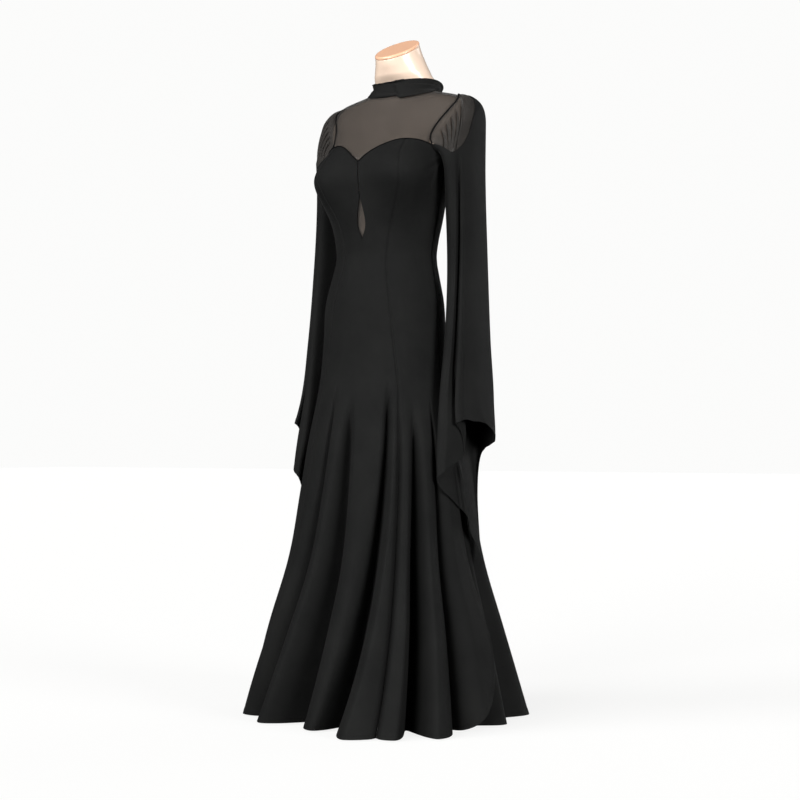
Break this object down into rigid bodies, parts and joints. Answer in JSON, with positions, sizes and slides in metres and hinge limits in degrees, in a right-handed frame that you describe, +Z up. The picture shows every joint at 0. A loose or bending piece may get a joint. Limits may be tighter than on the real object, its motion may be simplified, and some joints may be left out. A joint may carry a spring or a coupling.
{
  "type": "ballroom dance dress on an armless dress form and stand",
  "caption": "Full-length black ballroom dance dress with sheer yoke, keyhole front, flared gored skirt and long winged sleeves, worn by an armless dress form on a round-footed stand.",
  "frame": {"origin": "middle of the stand's foot, on the floor", "axes": "+Z up; the dress faces -Y and the wearer's left side is +X"},
  "size_m": [0.589, 0.652, 1.5261],
  "materials": {
    "black_crepe": "matt stretch crepe",
    "black_mesh": "fine sheer stretch mesh",
    "form_shell": "gloss",
    "steel": "brushed"
  },
  "bodies": {
    "root": {"form_torso": "form_shell", "form_pole": "steel", "form_foot": "steel", "front_centre": "black_crepe", "side_front_left": "black_crepe", "side_front_right": "black_crepe", "side_back_left": "black_crepe", "side_back_right": "black_crepe", "back_left": "black_crepe", "back_right": "black_crepe", "keyhole_inset": "black_mesh", "yoke_front": "black_mesh", "yoke_back": "black_mesh", "neck_band": "black_crepe", "sleeve_left": "black_crepe", "sleeve_right": "black_crepe", "sleeve_inset_left": "black_mesh", "sleeve_inset_right": "black_mesh"}
  },
  "joints": []
}
